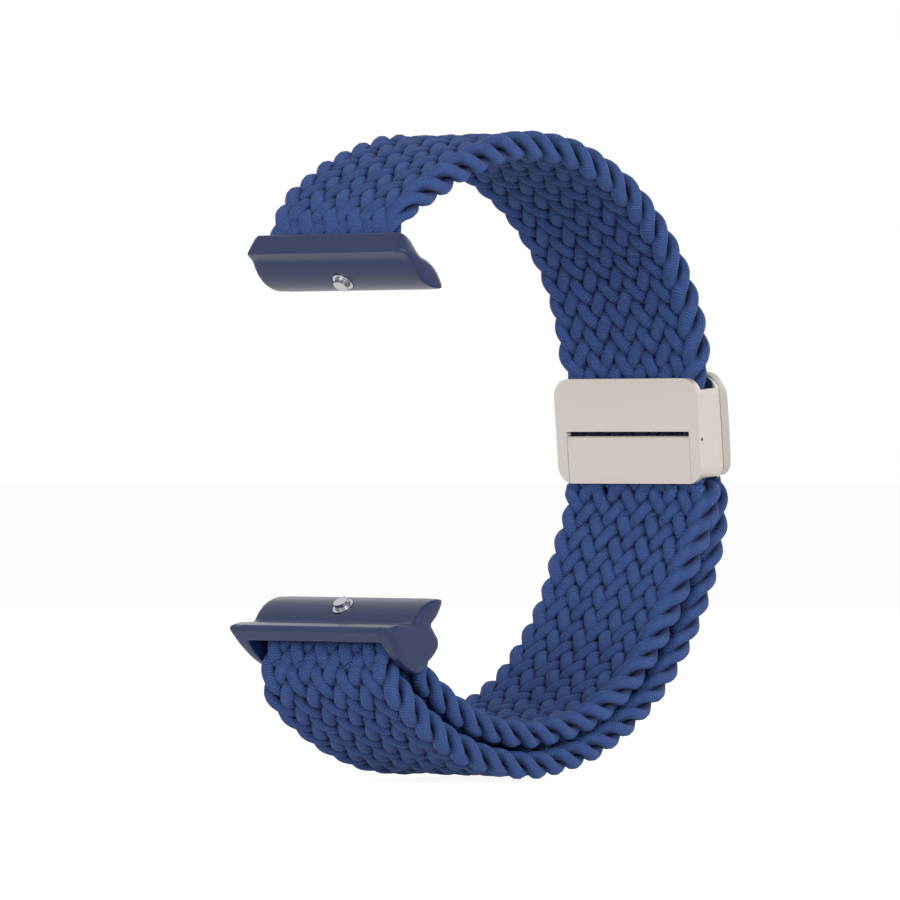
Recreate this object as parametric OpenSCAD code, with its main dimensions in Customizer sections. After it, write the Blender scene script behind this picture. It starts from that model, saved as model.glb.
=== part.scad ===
// Braided elastic strap for a smartwatch: two slide-in connectors, a flat braided band that
// turns round the lower connector's bar, and a slider clasp with a locking lever and a magnetic cover.
// X runs across the band, Y from the watch's face to the clasp, Z up. The origin is midway between
// the two connectors, at the middle of the seat that the watch case fills.

/* [Band] */
// Width of the braided band
band_w = 21; // [19:0.5:22]
// Thickness of the braided band
band_t = 2.5; // [2.1:0.1:2.7]
// Thickness of the band where it is drawn tight round the lower bar
turn_t = 2.3; // [1.9:0.1:2.4]
// Thickness of the outer layer's pressed end, below the cover
pressed_t = 1.4; // [1.1:0.1:1.6]
// Step from the inner layer to the outer one at the lowest point, centre to centre
layer_step = 3.6; // [3.4:0.1:4.2]
// How much wider the band lies where nothing holds it
band_spread = 1.6; // [0:0.1:2]
// Pitch of the braid's rows along the band
row_pitch = 3.33; // [3:0.01:4]
// How far the cords stand out of the band's mean face
float_rise = 0.3; // [0.1:0.05:0.3]
// How far the folds between them lie below it
fold_dip = 0.4; // [0.2:0.05:0.5]

/* [Route] */
// Y of the band's highest and lowest point
top_y = 22.5; // [19:0.5:26]
// Z of the band's centre at its highest point
top_z = 35.1; // [32:0.1:38]
// Y of the inner layer's lowest point
bottom_y = 22.3; // [17:0.1:24]
// Z of the inner layer's centre at its lowest point
bottom_z = -34.1; // [-37:0.1:-32]
// Radius of the short bend just below the clasp
clasp_bend_r = 10; // [9.5:0.5:14]
// Angle that this bend turns through
clasp_bend_turn = 28; // [20:1:29]
// Radius of the outer layer's pressed end
end_bend_r = 20; // [16:1:26]
// Angle that the pressed end turns through
end_bend_turn = 20; // [14:1:22]

/* [Connectors] */
// Distance from the watch seat's middle to the slide bar's middle
rail_z = 19.8; // [19:0.1:20.6]
// Y of the slide bar's middle
rail_y = 1.5; // [1:0.1:2]
// Length of the slide bar across the watch
rail_len = 26; // [25:0.5:28]
// Width of the slide bar's lens section
rail_w = 6.5; // [6:0.1:7]
// Thickness of the slide bar's lens section
rail_t = 2.4; // [2.2:0.1:2.6]
// Slope of the slide bar's section
rail_tilt = 36; // [32:1:40]
// Width of a connector at its outer edge
connector_w = 23.3; // [22.6:0.1:24.5]
// How far the lower connector's rim reaches in front of the slide bar's middle
rim_reach = 6.6; // [6:0.1:6.8]
// Height of that rim beyond the slide bar's middle
rim_up = 1.85; // [1.7:0.05:2.2]
// Thickness of the upper connector's lips round the band's tab
lip_t = 0.55; // [0.4:0.05:0.7]
// Y of the bar that the band turns round
bar_y = 1.2; // [1:0.1:1.5]
// Distance from the watch seat's middle to that bar
bar_z = 25.4; // [25.2:0.1:26]
// Radius of the bar
bar_r = 1.1; // [0.9:0.1:1.2]
// Wall of the arms round the bar
arm_wall = 0.15; // [0.1:0.05:0.3]
// How far the band's slot opens in front of the bar, from the bar's middle towards the watch
slot_reach = 2.5; // [2.3:0.1:2.8]

/* [Latches] */
// Radius of the latch's bore in the slide bar
latch_bore_r = 1.3; // [1.2:0.1:1.5]
// Depth of that bore
latch_bore_depth = 2.2; // [2:0.1:2.3]
// Radius of the button's nose
nose_r = 0.9; // [0.7:0.05:0.95]
// How far the nose stands out of the slide bar
nose_out = 0.7; // [0.5:0.1:0.9]
// Height of the pressed-in collar
collar_h = 0.5; // [0.4:0.1:0.6]
// Thickness of the button's flange
flange_t = 0.45; // [0.35:0.05:0.5]
// Travel of the button
button_travel = 0.6; // [0.4:0.1:0.6]
// Wall of the spring behind the button
spring_wall = 0.35; // [0.25:0.05:0.45]

/* [Upper end] */
// Thickness of the tab that closes the band's upper end
tab_t = 1.1; // [0.9:0.1:1.2]
// How deep the tab sits in the upper connector
tab_depth = 2.6; // [2.4:0.1:2.8]
// Heading of the band where it leaves the upper connector
exit_heading = 68; // [66:1:70]
// Y where the full band starts at the upper connector
exit_y = -0.3; // [-0.4:0.05:-0.1]
// Z where the full band starts at the upper connector
exit_z = 24.9; // [24.7:0.1:25.2]
// Radius of the steel pin through the tab
end_pin_r = 0.3; // [0.2:0.05:0.35]

/* [Clasp] */
// Y of the clasp's inner face, at its middle
clasp_y = 50.9; // [49:0.1:53]
// Z of the clasp's middle
clasp_z = 1.55; // [0:0.1:3]
// Lean of the clasp from upright
clasp_tilt = 5; // [3:1:8]
// How far the housing stands past the band at each side
housing_reach = 1; // [0.9:0.05:1.8]
// Height of the slider housing
housing_h = 12.7; // [12:0.1:14]
// Corner radius of the housing
housing_corner_r = 2.2; // [1.5:0.1:2.4]
// Thickness of the housing's inner plate
plate_t = 0.8; // [0.8:0.05:1]
// Thickness of the keeper plate that closes the housing
keeper_t = 0.45; // [0.35:0.05:0.6]
// How far the keeper plate reaches into each side wall
keeper_rebate = 0.25; // [0.15:0.05:0.35]
// Height of the side walls above the clasp's middle
wall_top = 4.9; // [4:0.1:5.4]
// Depth of the side walls below the clasp's middle
wall_bottom = 5.7; // [5:0.1:6]

/* [Lever] */
// Width of the locking lever
lever_w = 19.5; // [18:0.1:19.9]
// Thickness of the lever's flap
lever_t = 0.7; // [0.6:0.05:0.72]
// Top of the slit above the lever, from the clasp's middle
slit_top = -0.05; // [-0.4:0.05:0.4]
// Height of the slit
slit_h = 0.55; // [0.45:0.05:0.8]
// Radius of the lever's barrel
barrel_r = 0.42; // [0.38:0.01:0.42]
// Radius of the lever's pin
lever_pin_r = 0.2; // [0.15:0.01:0.24]
// Height of the grip ribs on the lever's back
rib_h = 0.08; // [0.04:0.01:0.1]
// Number of grip ribs
rib_count = 3; // [1:1:4]

/* [Cover] */
// How far the cover stands past the housing at each side
cover_reach = 0.1; // [0:0.05:0.5]
// Top edge of the cover, from the clasp's middle
cover_top = 6.8; // [6.4:0.1:7.4]
// Bottom edge of the cover, from the clasp's middle
cover_bottom = -5.7; // [-5.9:0.1:-5.4]
// Thickness of the cover at its middle
cover_t = 1.35; // [1.3:0.05:2]
// Radius of the cover's top corners
cover_corner_r = 3; // [2:0.1:3.6]
// Radius of its bottom corners, where the band comes out
cover_foot_r = 1.5; // [1.5:0.1:3]
// Radius of the cover's outward curve
cover_crown_r = 90; // [80:5:150]
// Rim left round the liner
cover_rim = 1; // [0.8:0.1:1.4]
// Thickness of the liner that closes the cover
liner_t = 0.3; // [0.25:0.05:0.35]
// Number of magnets
magnet_count = 3; // [2:1:3]
// Width of one magnet
magnet_w = 5; // [4:0.1:5.6]
// Height of one magnet
magnet_h = 4.2; // [3.5:0.1:4.4]
// Thickness of one magnet
magnet_t = 0.5; // [0.4:0.05:0.6]
// Distance between the magnets' middles
magnet_step = 6.5; // [6:0.1:7]
// Distance between the two register pegs, and between the two rivets
peg_step = 12; // [9:0.5:14]
// Radius of a register peg
peg_r = 0.5; // [0.4:0.05:0.6]
// How far a register peg stands out of the liner
peg_out = 0.35; // [0.25:0.05:0.4]
// Radius of a rivet
rivet_r = 0.4; // [0.3:0.05:0.5]
// Thickness of the tab on the band's outer end
end_tab_t = 0.5; // [0.4:0.05:0.6]
// Depth that this tab reaches into the cover
end_tab_depth = 2.9; // [2.4:0.1:3]

/* [Clearances] */
// Gap between the band and the parts that it runs through, at each face
band_gap = 0.15; // [0.1:0.01:0.2]
// Gap between the bar and the band round it
bar_gap = 0.3; // [0.25:0.05:0.35]
// Gap between the band's turn and the connector above it
turn_gap = 0.3; // [0.2:0.05:0.35]
// Radial clearance of turning and sliding pins
pin_gap = 0.03; // [0.02:0.01:0.05]
// Radial clearance of the latch button
button_gap = 0.06; // [0.03:0.01:0.09]
// Gap at each side of the lever
lever_gap = 0.06; // [0.04:0.01:0.15]
// Gap between the keeper plate and the cover
cover_gap = 0.05; // [0.03:0.01:0.1]
// Radial gap of the register pegs in the keeper plate
peg_gap = 0.1; // [0.05:0.01:0.15]
// Gap round each magnet in its pocket
magnet_gap = 0.03; // [0.02:0.01:0.06]

/* [Hidden] */
$fn = 64;
// Widths of the clasp's housing and of its outer cover
housing_w = band_w + 2 * housing_reach;
cover_w = housing_w + 2 * cover_reach;
cord_blue = "#2f4d8c";
connector_blue = "#3a4474";
champagne = "#cdc5bc";
steel = "#b9bbbe";
magnet_grey = "#8d8f92";
eps = 0.01;
// How far a cutter runs past what it cuts, and the length of one that cuts right through
over = 1;
through = 40;
// Largest turn between two places on the band's route, and the bevel of its long edges
route_step = 5;
edge_round = 0.6;

// Channel through the housing, and the depths of what lies in it and behind it
channel_d = band_t + 2 * band_gap;
band_d = plate_t + channel_d / 2;
keeper_d = plate_t + channel_d;
housing_d = keeper_d + keeper_t;
channel_w = band_w + 2 * band_gap;
keeper_w = channel_w + 2 * keeper_rebate;
cover_d = housing_d + cover_gap;
cover_middle = (cover_top + cover_bottom) / 2;
tab_d = cover_d + liner_t + end_tab_t / 2;
pressed_d = housing_d + band_gap + pressed_t / 2;

// Lever pin, at the lever's upper edge
pin_s = slit_top - slit_h - barrel_r;
pin_d = barrel_r + pin_gap;
pin_inset = 0.1;

// The band turns round the bar of the lower connector
turn_in_r = bar_r + bar_gap;
turn_out_r = turn_in_r + turn_t;
turn_mid_r = turn_in_r + turn_t / 2;
turn_steps = 24;
run_offset = turn_in_r + band_t / 2;

// A point in the side view from its depth behind the clasp's inner face and its height along the clasp
function clasp_point(d, s) = [
    clasp_y + d * cos(clasp_tilt) - s * sin(clasp_tilt),
    clasp_z + d * sin(clasp_tilt) + s * cos(clasp_tilt)
];
clasp_heading = -90 + clasp_tilt;

// Every bend of the band turns clockwise in the side view, from heading a to heading b.
// A heading of 0 points along +Y, and 90 points up.
function bend_end(p, a, b, r) = [p[0] + r * (sin(a) - sin(b)), p[1] + r * (cos(b) - cos(a))];
// The two radii that lead from p at heading a to q at heading b, changing over at heading m
function two_radii(p, q, a, m, b) =
    let (y1 = sin(a) - sin(m), y2 = sin(m) - sin(b))
    let (z1 = cos(m) - cos(a), z2 = cos(b) - cos(m))
    let (dy = q[0] - p[0], dz = q[1] - p[1], det = y1 * z2 - y2 * z1)
    [(dy * z2 - dz * y2) / det, (y1 * dz - z1 * dy) / det];

// Places where one run of the band hands over to the next. The straight stretch in the clasp runs
// a little past the housing, and the bends that flex as the clasp slides are runs of their own.
straight_over_top = 0.55;
straight_over_bottom = 0.25;
clasp_run_turn = 10;
tail_turn = 20;
straight_up = housing_h / 2 + straight_over_top;
straight_down = housing_h / 2 + straight_over_bottom;
top_point = [top_y, top_z];
exit_point = [exit_y, exit_z];
clasp_top = clasp_point(band_d, straight_up);
clasp_bottom = clasp_point(band_d, -straight_down);
inner_start = bend_end(clasp_bottom, clasp_heading, clasp_heading - clasp_bend_turn, clasp_bend_r);
inner_bottom = [bottom_y, bottom_z];
inner_end = [bar_y + run_offset, -bar_z];
outer_bottom = [bottom_y, bottom_z - layer_step];
outer_end = [bar_y - run_offset, -bar_z];
pressed_start = clasp_point(pressed_d, cover_bottom - band_gap / 2);
tail_start = bend_end(pressed_start, clasp_heading, clasp_heading - end_bend_turn, end_bend_r);
inner_heading = clasp_heading - clasp_bend_turn;
tail_heading = clasp_heading - end_bend_turn;
outer_run_heading = tail_heading - tail_turn;
clasp_run_heading = clasp_heading + clasp_run_turn;

// Headings at which the radius changes on each quarter of the loop
front_knee = 35;
back_knee = -50;
inner_knee = -118;
outer_knee = -132;
lower_front_knee = -222;

front_radii = two_radii(exit_point, top_point, exit_heading, front_knee, 0);
back_radii = two_radii(top_point, clasp_top, 0, back_knee, clasp_heading);
inner_radii = two_radii(inner_start, inner_bottom, inner_heading, inner_knee, -180);
inner_front_radii = two_radii(inner_bottom, inner_end, -180, lower_front_knee, -270);
outer_radii = two_radii(tail_start, outer_bottom, tail_heading, outer_knee, -180);
outer_front_radii = two_radii(outer_bottom, outer_end, -180, lower_front_knee, -270);
back_knee_point = bend_end(top_point, 0, back_knee, back_radii[0]);
clasp_run_start = bend_end(back_knee_point, back_knee, clasp_run_heading, back_radii[1]);
outer_run_start = bend_end(tail_start, tail_heading, outer_run_heading, outer_radii[0]);

// Places along one bend, each as Y, Z and heading, after its first one
function bend_route(p, a, b, r) = let (steps = ceil(abs(a - b) / route_step))
    [for (i = [1 : steps]) let (h = a + (b - a) * i / steps, q = bend_end(p, a, h, r)) [q[0], q[1], h]];
function place(p, heading) = [[p[0], p[1], heading]];

// Two bends that follow each other, from heading a by m to b, each as its start, headings and radius
function two_bends(p, a, m, b, radii) =
    [[p, a, m, radii[0]], [bend_end(p, a, m, radii[0]), m, b, radii[1]]];
function bend_length(bend) = bend[3] * abs(bend[2] - bend[1]) * PI / 180;
function length_up_to(bends, i) = i == 0 ? 0 : length_up_to(bends, i - 1) + bend_length(bends[i - 1]);
// Place at length v along a list of bends, from the one with number i on
function at_length(bends, v, i = 0) = let (bend = bends[i], arc = bend_length(bend))
    v > arc && i < len(bends) - 1
        ? at_length(bends, v - arc, i + 1)
        : let (h = bend[1] + (bend[2] - bend[1]) * v / arc, q = bend_end(bend[0], bend[1], h, bend[3]))
            [q[0], q[1], h];

// Half outline of the band's section, as offsets in thickness and width, and the whole of it
function section_corners(w, t) = [[t / 2, w / 2 - edge_round], [t / 2 - edge_round * t / band_t, w / 2]];
function band_section(w, t) = let (c = section_corners(w, t)) [
    c[0], c[1], [-c[1][0], c[1][1]], [-c[0][0], c[0][1]],
    [-c[0][0], -c[0][1]], [-c[1][0], -c[1][1]], [c[1][0], -c[1][1]], [c[0][0], -c[0][1]]
];

// Band swept along a route, with its thickness going from t0 to t1
module band(route, t0 = band_t, t1 = band_t, w = band_w) {
    last = len(route) - 1;
    rings = [for (i = [0 : last]) for (c = band_section(w, t0 + (t1 - t0) * i / last))
        [c[1], route[i][0] - c[0] * sin(route[i][2]), route[i][1] + c[0] * cos(route[i][2])]];
    sides = [for (i = [0 : last - 1], j = [0 : 7]) let (k = (j + 1) % 8, n = i * 8)
        each [[n + j, n + 8 + j, n + 8 + k], [n + j, n + 8 + k, n + k]]];
    caps = [[for (j = [0 : 7]) j], [for (j = [7 : -1 : 0]) last * 8 + j]];
    polyhedron(points = rings, faces = concat(sides, caps), convexity = 4);
}

// The braid of a loose run. Its cords turn back at the band's edges and stand out in ten strips across
// each face, two columns wide and half a column more at the edges, with a fold on each side of a strip.
braid_columns = 21;
fold_columns = [0, for (i = [0 : 8]) 2.5 + 2 * i, braid_columns];
fold_count = len(fold_columns);
strip_count = fold_count - 1;
// Rows over which the relief fades towards a run's ends, the lengths where the spread starts and is
// whole, and how far a cord bulges out at the edge and the gap beside it draws in
fade_rows = 1;
spread_start = 2;
spread_end = 9;
edge_bulge = 0.25;
edge_dent = 0.35;
function share(x) = max(0, min(1, x));

// Closed mesh of a run along its bends. Each float is a fan of six triangles round its crest, and each
// fold has points every half row, as has the middle of each edge.
module braided_run(bends) {
    total = length_up_to(bends, len(bends));
    rows = round(total / row_pitch);
    half_row = total / rows / 2;
    count = 2 * rows + 2;
    last = count - 1;
    floats = rows - 2;

    // Length of point i of a fold, half a step further inside the band than at its edges
    function length_at(i, shift) = i == 0 ? 0 : i == last ? total : (i - 1 + shift) * half_row;
    function relief(v) = share(min(v, total - v) / (2 * half_row * fade_rows));
    function half_w(v) = band_w / 2
        + band_spread / 2 * share((min(v, total - v) - spread_start) / (spread_end - spread_start));
    function fold_shift(j) = j == 0 || j == strip_count ? 0.25 : 0.75;
    // Point at x, height z above the middle of the band, and length v
    function point(x, z, v) = let (q = at_length(bends, v)) [x, q[0] - z * sin(q[2]), q[1] + z * cos(q[2])];
    // A cord turns at every other point of an edge: the even ones on the left and the odd ones on the right
    function bulge(i, right) = (i - 1) % 2 == (right ? 1 : 0) ? edge_bulge : -edge_dent;
    function fold_x(j, i, v) =
        j == 0 ? -half_w(v) + edge_round - relief(v) * bulge(i, false)
        : j == strip_count ? half_w(v) - edge_round + relief(v) * bulge(i, true)
        : (2 * fold_columns[j] / braid_columns - 1) * half_w(v);

    // Points: both faces' folds, the two edges, and both faces' crests
    folds = [for (side = [1, -1], j = [0 : strip_count], i = [0 : last]) let (v = length_at(i, fold_shift(j)))
        point(fold_x(j, i, v), side * (band_t / 2 - relief(v) * fold_dip), v)];
    edges = [for (right = [false, true], i = [0 : last]) let (v = length_at(i, 0.25))
        point((right ? 1 : -1) * (half_w(v) + relief(v) * bulge(i, right)), 0, v)];
    // A float's own first points on the folds at its left and right: it rises to the right where
    // rising is true, which alternates across a face and between the faces
    function rising(side, k) = (k % 2 == 0) == (side < 0);
    function left_start(side, k) = rising(side, k) ? 2 : k == 0 ? 4 : 3;
    function right_start(side, k) = rising(side, k) ? (k == strip_count - 1 ? 5 : 4) : 1;
    crests = [for (side = [1, -1], k = [0 : strip_count - 1], n = [0 : floats - 1])
        let (i = left_start(side, k) + 2 * n + 1, m = right_start(side, k) + 2 * n + 1)
        let (v = (length_at(i, fold_shift(k)) + length_at(m, fold_shift(k + 1))) / 2)
        let (x = (fold_columns[k] + fold_columns[k + 1]) / braid_columns - 1)
        point(x * half_w(v), side * (band_t / 2 + relief(v) * float_rise), v)];

    function fold_id(f, j, i) = (f * fold_count + j) * count + i;
    function edge_id(e, i) = (2 * fold_count + e) * count + i;
    function crest_id(f, k, n) = (2 * fold_count + 2) * count + (f * strip_count + k) * floats + n;
    // Triangles of one strip, anticlockwise with X to the right and the length upwards
    function strip(f, k) =
        let (side = 1 - 2 * f, l = left_start(side, k), r = right_start(side, k), end = 2 * floats)
        concat(
            [for (m = [0 : l - 1]) [fold_id(f, k, m), fold_id(f, k + 1, 0), fold_id(f, k, m + 1)]],
            [for (m = [0 : r - 1]) [fold_id(f, k, l), fold_id(f, k + 1, m), fold_id(f, k + 1, m + 1)]],
            [for (n = [0 : floats - 1]) let (a = l + 2 * n, b = r + 2 * n) let (ring = [
                fold_id(f, k, a), fold_id(f, k + 1, b), fold_id(f, k + 1, b + 1),
                fold_id(f, k + 1, b + 2), fold_id(f, k, a + 2), fold_id(f, k, a + 1)
            ]) for (c = [0 : 5]) [crest_id(f, k, n), ring[c], ring[(c + 1) % 6]]],
            [for (m = [l + end : 1 : last - 1])
                [fold_id(f, k, m), fold_id(f, k + 1, last), fold_id(f, k, m + 1)]],
            [for (m = [r + end : 1 : last - 1])
                [fold_id(f, k, l + end), fold_id(f, k + 1, m), fold_id(f, k + 1, m + 1)]]
        );
    function turned(t) = [t[0], t[2], t[1]];
    // Two triangles between points i of two lines, clockwise with the first line above on the right edge
    function quads(ids) = [for (q = ids) each [[q[0], q[1], q[2]], [q[0], q[2], q[3]]]];
    right_side = quads([for (i = [0 : last - 1]) each [
        [fold_id(0, strip_count, i), fold_id(0, strip_count, i + 1), edge_id(1, i + 1), edge_id(1, i)],
        [edge_id(1, i), edge_id(1, i + 1), fold_id(1, strip_count, i + 1), fold_id(1, strip_count, i)]
    ]]);
    left_side = quads([for (i = [0 : last - 1]) each [
        [fold_id(0, 0, i), edge_id(0, i), edge_id(0, i + 1), fold_id(0, 0, i + 1)],
        [edge_id(0, i), fold_id(1, 0, i), fold_id(1, 0, i + 1), edge_id(0, i + 1)]
    ]]);
    function cap(i) = concat(
        [[edge_id(0, i), fold_id(0, 0, i), fold_id(1, 0, i)]],
        quads([for (j = [0 : strip_count - 1])
            [fold_id(0, j, i), fold_id(0, j + 1, i), fold_id(1, j + 1, i), fold_id(1, j, i)]]),
        [[edge_id(1, i), fold_id(1, strip_count, i), fold_id(0, strip_count, i)]]
    );
    polyhedron(points = concat(folds, edges, crests), convexity = 6, faces = concat(
        [for (k = [0 : strip_count - 1]) each [for (t = strip(0, k)) turned(t)]],
        [for (k = [0 : strip_count - 1]) each strip(1, k)],
        right_side, left_side, cap(0), [for (t = cap(last)) turned(t)]
    ));
}

// Children drawn as X, depth and height on the clasp
module on_clasp() translate([0, clasp_y, clasp_z]) rotate([clasp_tilt, 0, 0]) children();

// Plate w wide, from height s0 to s1 and from depth d0 to d1, with round corners of radius r at the
// top and foot_r at the bottom
module rounded_plate(w, s0, s1, r, foot_r, d0, d1) {
    translate([0, d1, 0]) rotate([90, 0, 0]) linear_extrude(height = d1 - d0) {
        translate([-w / 2, s0 + foot_r]) square([w, s1 - s0 - r - foot_r]);
        translate([-w / 2 + r, s1 - 2 * r]) square([w - 2 * r, 2 * r]);
        translate([-w / 2 + foot_r, s0]) square([w - 2 * foot_r, 2 * foot_r]);
        for (x = [-1, 1]) {
            translate([x * (w / 2 - r), s1 - r]) circle(r = r);
            translate([x * (w / 2 - foot_r), s0 + foot_r]) circle(r = foot_r);
        }
    }
}

// Block by its limits in X, depth and height
module block(x0, x1, d0, d1, s0, s1) translate([x0, d0, s0]) cube([x1 - x0, d1 - d0, s1 - s0]);

// Rod along X
module rod(r, len, d, s) translate([0, d, s]) rotate([0, 90, 0]) cylinder(r = r, h = len, center = true);

// Side-view outline drawn as Y and Z, carried w / 2 to each side
module side_profile(points, w) {
    translate([-w / 2, 0, 0]) rotate([90, 0, 90]) linear_extrude(height = w) polygon(points);
}

// Connectors. Both are drawn as the upper one, and the lower one is mirrored down.
rail_round_r = (rail_w * rail_w / 4 + rail_t * rail_t / 4) / rail_t;
connector_edge = bar_z + bar_r + arm_wall;
plate_top = exit_z - 0.5;
side_slope_z = rail_z + 1.8;
// Point of a connector's side view, from the slide bar's middle
function from_rail(y, z) = [rail_y + y, rail_z + z];
// Curve that starts and ends at a list's ends and is drawn towards the points between them
curve_steps = 5;
function curve(points) = let (n = len(points) - 1) concat([points[0]], [
    for (i = [1 : n - 1]) let (a = (points[i - 1] + points[i]) / 2, c = (points[i] + points[i + 1]) / 2)
    for (step = [0 : curve_steps - (i == n - 1 ? 0 : 1)]) let (t = step / curve_steps)
    (1 - t) * (1 - t) * a + 2 * t * (1 - t) * points[i] + t * t * c
], [points[n]]);

// Side view of the upper connector: its end walls, which taper to the front lip's top, and the back
// lip between them. The front lip and the back one lie on the two sides of the tab's slot.
lip_inset = (tab_t / 2 + lip_t) / sin(exit_heading);
front_lip_back = 0.45;
front_lip = [exit_y - lip_inset - front_lip_back, plate_top];
upper_wall = concat([front_lip], curve([
    front_lip + [lip_t, 0], [exit_y - 0.1, plate_top - 0.6], [exit_y + 0.3, plate_top - 2.2],
    from_rail(-1.1, 1.6), from_rail(-0.9, 1.1)
]), [from_rail(-2.4, 1.5), from_rail(-4, 2.4)]);
back_lip = [
    [exit_y - 0.3, plate_top - 0.85], [exit_y + 0.25, plate_top - 0.7],
    [exit_y + lip_inset - 0.4, plate_top - 1], [exit_y + lip_inset - 0.3, plate_top - 2.2],
    from_rail(-1.1, 1.6), from_rail(-2, 1.7)
];
// How far the back lip and the tab's pin reach into each end wall
lip_bite = 0.4;
pin_bite = 0.5;

// Side view of the lower connector, mirrored up: rim, front, bottom end at the bar, and back
lower_wall = concat(
    curve([from_rail(-rim_reach, rim_up), [bar_y - 4.8, connector_edge - 2.9],
        [bar_y - 2.9, connector_edge - 1.2], [bar_y - bar_r, connector_edge - 0.3]]),
    [[bar_y, bar_z]],
    curve([[bar_y + bar_r, bar_z + 0.2], from_rail(2.45, 4.3), from_rail(2.45, 2.8), from_rail(0.45, 1.3),
        from_rail(0.4, 0)]),
    [from_rail(-2.3, 1), from_rail(-rim_reach + 1.6, 1), from_rail(-rim_reach + 0.2, 1.3)]
);

// Lens-shaped bar that slides into the watch case
module slide_bar() {
    translate([0, rail_y, rail_z]) rotate([-rail_tilt, 0, 0]) intersection() {
        rod(rail_round_r, rail_len, 0, rail_round_r - rail_t / 2);
        rod(rail_round_r, rail_len, 0, rail_t / 2 - rail_round_r);
    }
}

// Keeps a connector's sides: full width at the case, narrower at its outer edge
module side_envelope(edge_z) {
    translate([0, through / 2, 0]) rotate([90, 0, 0]) linear_extrude(height = through) polygon([
        [-rail_len / 2, 0], [rail_len / 2, 0], [rail_len / 2, side_slope_z],
        [connector_w / 2, edge_z], [-connector_w / 2, edge_z], [-rail_len / 2, side_slope_z]
    ]);
}

// Axis of the latch: its origin is on the slide bar's inner face, and +Z runs into the bar
module on_latch() {
    translate([0, rail_y, rail_z]) rotate([-rail_tilt, 0, 0]) translate([0, 0, -rail_t / 2]) children();
}

module latch_bore() {
    on_latch() translate([0, 0, -over]) cylinder(r = latch_bore_r, h = latch_bore_depth + over);
}

module latch_collar() {
    on_latch() difference() {
        cylinder(r = latch_bore_r, h = collar_h);
        translate([0, 0, -eps]) cylinder(r = nose_r + button_gap, h = collar_h + 2 * eps);
    }
}

// Small play inside a latch: behind the collar, round the spring, and round the stem inside it
flange_play = 0.05;
spring_play = 0.15;
stem_play = 0.1;
flange_r = latch_bore_r - button_gap;
flange_z = collar_h + flange_play;
spring_z = flange_z + flange_t;
spring_r = flange_r - spring_play;
spring_in_r = spring_r - spring_wall;

module latch_spring() {
    on_latch() translate([0, 0, spring_z]) difference() {
        cylinder(r = spring_r, h = latch_bore_depth - spring_z);
        translate([0, 0, -eps]) cylinder(r = spring_in_r, h = latch_bore_depth);
    }
}

module latch_button() {
    on_latch() {
        translate([0, 0, -nose_out]) cylinder(r = nose_r, h = nose_out + flange_z + eps);
        translate([0, 0, flange_z]) cylinder(r = flange_r, h = flange_t);
        translate([0, 0, spring_z - eps]) cylinder(r = spring_in_r - stem_play,
            h = latch_bore_depth - button_travel - spring_z - flange_play);
    }
}

module downwards() mirror([0, 0, 1]) children();

// The tab of the band's upper end lies along the band's exit direction
module on_exit() translate([0, exit_y, exit_z]) rotate([exit_heading, 0, 0]) children();
// The pin through the tab, near the tab's end
end_pin_room = 0.7;
end_pin_at = -tab_depth + end_pin_room;
end_pin_len = channel_w + 2 * pin_bite;

module upper_connector() {
    color(connector_blue) difference() {
        union() {
            slide_bar();
            intersection() {
                union() {
                    side_profile(upper_wall, rail_len);
                    side_profile(back_lip, channel_w + 2 * lip_bite);
                }
                side_envelope(plate_top);
            }
        }
        on_exit() block(-channel_w / 2, channel_w / 2, -tab_depth - band_gap, tab_depth,
            -tab_t / 2 - band_gap / 2, tab_t / 2 + band_gap / 2);
        on_exit() rod(end_pin_r, end_pin_len, end_pin_at, 0);
        latch_bore();
    }
}

module upper_latch_collar() color(steel) latch_collar();
module upper_latch_spring() color(steel) latch_spring();
module upper_latch_button() color(steel) latch_button();

module upper_end_pin() {
    color(steel) on_exit() rod(end_pin_r, end_pin_len, end_pin_at, 0);
}

module band_upper_tab() {
    color(cord_blue) on_exit() difference() {
        block(-band_w / 2, band_w / 2, -tab_depth, 0, -tab_t / 2, tab_t / 2);
        rod(end_pin_r, band_w + over, end_pin_at, 0);
    }
}

module band_upper_run() {
    color(cord_blue) braided_run(concat(
        two_bends(exit_point, exit_heading, front_knee, 0, front_radii),
        two_bends(top_point, 0, back_knee, clasp_run_heading, back_radii)
    ));
}

module band_clasp_run() {
    color(cord_blue) band(concat(
        place(clasp_run_start, clasp_run_heading),
        bend_route(clasp_run_start, clasp_run_heading, clasp_heading, back_radii[1]),
        place(clasp_bottom, clasp_heading),
        bend_route(clasp_bottom, clasp_heading, inner_heading, clasp_bend_r)
    ));
}

module band_inner_run() {
    color(cord_blue) braided_run(concat(
        two_bends(inner_start, inner_heading, inner_knee, -180, inner_radii),
        two_bends(inner_bottom, -180, lower_front_knee, -270, inner_front_radii)
    ));
}

module band_turn() {
    color(cord_blue) band([for (i = [0 : turn_steps]) let (h = 90 + 180 * i / turn_steps)
        [bar_y + turn_mid_r * sin(h), -bar_z - turn_mid_r * cos(h), h]], turn_t, turn_t);
}

module band_outer_run() {
    color(cord_blue) braided_run(concat(
        two_bends(outer_run_start, outer_run_heading, outer_knee, -180, outer_radii),
        two_bends(outer_bottom, -180, lower_front_knee, -270, outer_front_radii)
    ));
}

module band_outer_tail() {
    color(cord_blue) band(concat(
        place(tail_start, tail_heading),
        bend_route(tail_start, tail_heading, outer_run_heading, outer_radii[0])
    ));
}

module band_outer_end() {
    color(cord_blue) band(concat(
        place(pressed_start, clasp_heading),
        bend_route(pressed_start, clasp_heading, tail_heading, end_bend_r)
    ), pressed_t, band_t);
}

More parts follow.
